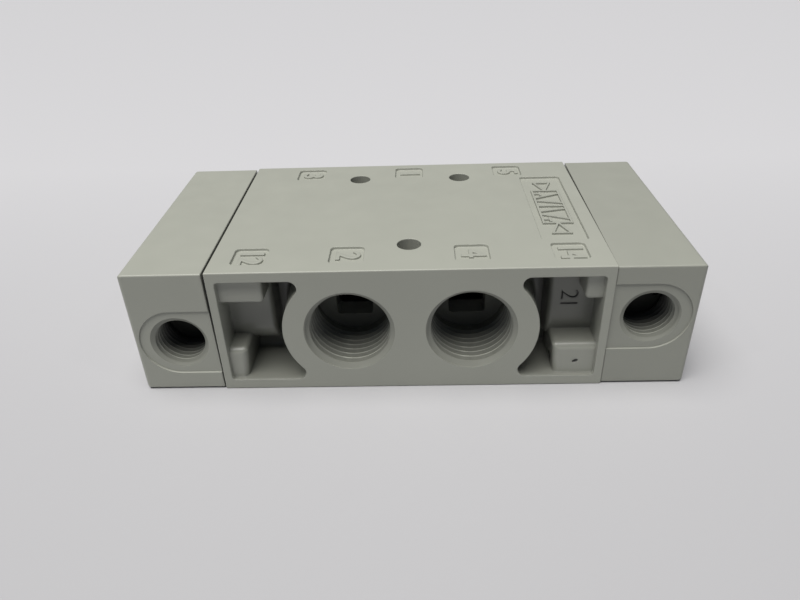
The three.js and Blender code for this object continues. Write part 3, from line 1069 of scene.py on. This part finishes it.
def depth_share(tree, where, near, far):
    """A value that goes from 1 near the front or rear face to 0 deep behind it; depths in millimetres."""
    size = tree.nodes.new("ShaderNodeMath")
    size.operation = "ABSOLUTE"
    tree.links.new(parts_of(tree, where)["Y"], size.inputs[0])
    face = BODY_HIGH.y
    return to_range(tree, size.outputs["Value"], (face - near) * MM, (face - far) * MM, 1, 0)


def product(tree, first, second):
    """Two values multiplied."""
    node = tree.nodes.new("ShaderNodeMath")
    node.operation = "MULTIPLY"
    for socket, value in zip(node.inputs, (first, second)):
        tree.links.new(value, socket)
    return node.outputs["Value"]


def blend_value(tree, amount, first, second):
    """A mix of a value and a number."""
    node = tree.nodes.new("ShaderNodeMix")
    tree.links.new(amount, node.inputs["Factor"])
    tree.links.new(first, node.inputs["A"])
    node.inputs["B"].default_value = second
    return node.outputs["Result"]


def pocket_painted_shade(tree, where):
    """Painted shade in a pocket: how much of the paint colour is kept, less with depth and on its floor,
    least low at the back.

    Far inside, the right pocket is shaded darker than the left one."""
    geometry = tree.nodes.new("ShaderNodeNewGeometry")
    facing_up = parts_of(tree, geometry.outputs["True Normal"])["Z"]
    place_parts = parts_of(tree, where)
    height = to_range(tree, place_parts["Z"], 13 * MM, 21 * MM, 0.35, 1)
    side = to_range(tree, place_parts["X"], 0, 35 * MM, 1, 0.55)
    near_front = depth_share(tree, where, 2, 6)
    wall = blend_value(tree, near_front, product(tree, height, side), 1)
    level = blend_value(tree, to_range(tree, facing_up, 0.3, 0.8, 0, 1), wall, 0.38)
    return product(tree, depth_share(tree, where, -1, 14), level)


def paint_material(name, colour, recessed=False):
    """Satin stove paint over a casting: faint mottling, dust, orange peel, and edges a little lighter
    from thinner paint and from a painted highlight.

    In the pockets the colour is darkened with depth, on floors and low at the back as painted shade."""
    material, tree, shader, where = new_material(name)
    normal, edge = soft_edges(tree, 0.0008 if recessed else 0.0002)
    mottle = to_range(tree, noise(tree, where, 45, 4), 0.3, 0.7, 0, 1)
    base = blend_colour(tree, mottle, scaled(colour, 0.98), scaled(colour, 1.02))
    grime = to_range(tree, noise(tree, where, 520, 6, 0.7), 0.70, 0.82, 0, 0.3)
    base = blend_colour(tree, grime, base, scaled(colour, 0.72))
    if recessed:
        # painted shade in the pockets: darker towards the back, on the floor and low down
        base = blend_colour(tree, pocket_painted_shade(tree, where), scaled(colour, 0.4), base)
    # edges a little lighter: thinner paint, and a painted highlight
    edge_wear_and_highlight = to_range(tree, edge, 0, 1, 0, 0.03)
    base = blend_colour(tree, edge_wear_and_highlight, base, scaled(colour, 1.25))
    tree.links.new(base, shader.inputs["Base Color"])
    patches = to_range(tree, noise(tree, where, 160, 5), 0.3, 0.7, 0.34, 0.46)
    tree.links.new(patches, shader.inputs["Roughness"])
    peel = bump(tree, noise(tree, where, 1500, 2), 0.00002, 0.35, normal)
    tree.links.new(bump(tree, noise(tree, where, 5200, 2), 0.000008, 0.3, peel), shader.inputs["Normal"])
    shader.inputs["Specular IOR Level"].default_value = 0.45
    if recessed:
        shader.inputs["Coat Weight"].default_value = 0.35
        shader.inputs["Coat Roughness"].default_value = 0.12
    return material


def tapped_material(name, colour, mouth, near, far, deep):
    """Tapped and bored casting: a painted mouth kept darker than the face as painted shade, crests lighter as
    bare metal and as a painted highlight, oily flanks, and painted shade that darkens it from near to far.

    mouth, near and far are depths in millimetres; deep is what is left of the colour at far, in the painted
    shade."""
    material, tree, shader, where = new_material(name)
    marks = noise(tree, where, 900, 4, 0.6)
    geometry = tree.nodes.new("ShaderNodeNewGeometry")
    # the crests: lighter as bare metal, and as a painted highlight where light catches them
    crest = to_range(tree, geometry.outputs["Pointiness"], 0.51, 0.57, 0, 1)
    streak = to_range(tree, marks, 0.3, 0.7, 0, 1)
    base = blend_colour(tree, streak, scaled(colour, 0.60), scaled(colour, 0.70))
    base = blend_colour(tree, crest, base, scaled(colour, 1.65))
    # the painted mouth, its paint kept darker than the face's as painted shade
    painted = depth_share(tree, where, mouth - 0.2, mouth + 0.2)
    base = blend_colour(tree, painted, base, scaled(colour, 0.72))
    # painted shade: the bore darkens from near to far
    base = blend_colour(tree, depth_share(tree, where, near, far), scaled(colour, deep), base)
    tree.links.new(base, shader.inputs["Base Color"])
    tree.links.new(to_range(tree, marks, 0.25, 0.75, 0.36, 0.48), shader.inputs["Roughness"])
    tree.links.new(bump(tree, marks, 0.00001, 0.3), shader.inputs["Normal"])
    shader.inputs["Specular IOR Level"].default_value = 0.3
    return material


def turned_metal(name, colour, roughness, stretch):
    """Machined metal with fine tool marks drawn out along the cut."""
    material, tree, shader, where = new_material(name)
    marks = noise(tree, where, 900, 4, 0.6, stretch)
    base = blend_colour(tree, to_range(tree, marks, 0.3, 0.7, 0, 1), scaled(colour, 0.86), colour)
    stain = to_range(tree, noise(tree, where, 220, 5), 0.5, 0.75, 0, 0.35)
    base = blend_colour(tree, stain, base, scaled(colour, 0.7))
    tree.links.new(base, shader.inputs["Base Color"])
    tree.links.new(
        to_range(tree, marks, 0.25, 0.75, roughness - 0.07, roughness + 0.1), shader.inputs["Roughness"])
    tree.links.new(bump(tree, marks, 0.00001, 0.35), shader.inputs["Normal"])
    shader.inputs["Metallic"].default_value = 1.0
    return material


def moulded(name, colour, roughness, grain):
    """Rubber or plastic with a fine moulded grain and slight colour variation."""
    material, tree, shader, where = new_material(name)
    cloud = to_range(tree, noise(tree, where, 260, 5), 0.3, 0.7, 0, 1)
    base = blend_colour(tree, cloud, scaled(colour, 0.85), scaled(colour, 1.15))
    tree.links.new(base, shader.inputs["Base Color"])
    tree.links.new(
        to_range(tree, noise(tree, where, 700, 3), 0.3, 0.7, roughness - 0.06, roughness + 0.08),
        shader.inputs["Roughness"])
    tree.links.new(bump(tree, noise(tree, where, grain, 3), 0.00001, 0.4), shader.inputs["Normal"])
    return material


PAINT_COLOUR = (0.322, 0.330, 0.287)
FLOOR_COLOUR = (0.386, 0.385, 0.397)

recess_paint = paint_material("pocket paint with painted shade", PAINT_COLOUR, recessed=True)
casting_materials = (
    paint_material("satin warm grey paint", PAINT_COLOUR),
    tapped_material("tapped casting", PAINT_COLOUR, 1.5, 10, 16, 0.6),
    recess_paint,
    moulded("painted shade in cut marks", (0.1, 0.1, 0.095), 0.6, 2000),
)
pilot_thread = tapped_material("tapped pilot port", PAINT_COLOUR, 1.9, 3.5, 9, 0.15)
# the right cover's paint is a little darker than the body's
cover_materials = {
    "left": (casting_materials[0], pilot_thread, recess_paint),
    "right": (
        paint_material("darker paint on the right cover", scaled(PAINT_COLOUR, 0.89)),
        pilot_thread, recess_paint),
}
spool_metal = turned_metal("turned aluminium", (0.62, 0.63, 0.65), 0.3, (12, 1, 1))
screw_metal = turned_metal("zinc plated steel", (0.42, 0.43, 0.45), 0.34, (1, 6, 6))
gasket_rubber = moulded("gasket sheet", (0.012, 0.012, 0.012), 0.8, 2600)
seal_rubber = moulded("ring rubber", (0.014, 0.014, 0.015), 0.5, 4200)
bumper_rubber = moulded("bumper rubber", (0.02, 0.02, 0.02), 0.65, 3000)
acetal = moulded("white acetal", (0.72, 0.71, 0.66), 0.42, 3400)


# Camera, light and floor

CAMERA_PLACE = Vector((2.28, -157.85, 102.2)) * MM
CAMERA_YAW = math.radians(-2.00)
CAMERA_PITCH = math.radians(31.70)
CAMERA_ROLL = math.radians(-2.04)
CAMERA_LENS = 30.02
CAMERA_SENSOR = 36.0


def make_camera():
    """The camera in front of the ports, looking down on the top face."""
    data = bpy.data.cameras.new("camera")
    data.lens = CAMERA_LENS
    data.sensor_width = CAMERA_SENSOR
    data.clip_start = 0.01
    camera = new_object("camera", data)
    yaw = Matrix.Rotation(-CAMERA_YAW, 4, "Z")
    tilt = Matrix.Rotation(math.pi / 2 - CAMERA_PITCH, 4, "X")
    roll = Matrix.Rotation(CAMERA_ROLL, 4, "Z")
    camera.matrix_world = Matrix.Translation(CAMERA_PLACE) @ yaw @ tilt @ roll
    bpy.context.scene.camera = camera


def make_light():
    """A wide soft light from the upper left front with a bright core, two small lamps and a dim surround."""
    world = bpy.data.worlds.new("surround")
    world.use_nodes = True
    background = world.node_tree.nodes["Background"]
    background.inputs["Color"].default_value = (0.74, 0.82, 1.0, 1)
    background.inputs["Strength"].default_value = 0.09
    bpy.context.scene.world = world
    ceiling = (math.radians(10), math.radians(-9), 0)
    lamps = (
        ("ceiling light", 4.1, 50, ceiling),
        ("lamp in the ceiling", 0.25, 9, ceiling),
        ("left lamp", 0.08, 3, (math.radians(18), math.radians(-40), 0)),
        ("right lamp", 0.08, 3, (math.radians(18), math.radians(40), 0)),
    )
    for name, energy, angle, turn in lamps:
        data = bpy.data.lights.new(name, "SUN")
        data.energy = energy
        data.angle = math.radians(angle)
        data.color = (1.0, 0.985, 0.96)
        new_object(name, data).rotation_euler = turn


def make_floor():
    """The pale table top, lighter towards the back as a painted pool of light."""
    material, tree, shader, where = new_material("pale table top")
    cloud = to_range(tree, noise(tree, where, 6, 3), 0.3, 0.7, 0, 1)
    base = blend_colour(tree, cloud, scaled(FLOOR_COLOUR, 0.99), FLOOR_COLOUR)
    # painted light: the table top grows lighter towards the back
    far = to_range(tree, parts_of(tree, where)["Y"], -0.1, 0.12, 0, 1)
    base = blend_colour(tree, far, base, scaled(FLOOR_COLOUR, 1.32))
    tree.links.new(base, shader.inputs["Base Color"])
    shader.inputs["Roughness"].default_value = 0.55
    half = 3000
    z = BODY_LOW.z - 0.02
    corners = [(-half, -half, z), (half, -half, z), (half, half, z), (-half, half, z)]
    floor = solid("table_top", corners, [(0, 1, 2, 3)])
    floor.data.materials.append(material)


# Assembly

make_camera()
make_light()
make_floor()
bpy.context.scene.view_settings.view_transform = "Standard"

make_body(casting_materials)
for side in SIDES:
    make_cover(side, cover_materials[side])
    make_gasket(side, gasket_rubber)
    make_piston(side, acetal)
    make_ring(side + "_piston_seal", side + "_piston_ring", side + "_piston", seal_rubber)
    make_bumper(side, bumper_rubber)
for screw_node in SCREW_NODES:
    make_screw(screw_node, screw_metal)
make_spool(spool_metal)
for number in range(1, 7):
    make_ring(f"spool_seal_{number}", f"spool_ring_{number}", "spool", seal_rubber)

bpy.context.view_layer.update()
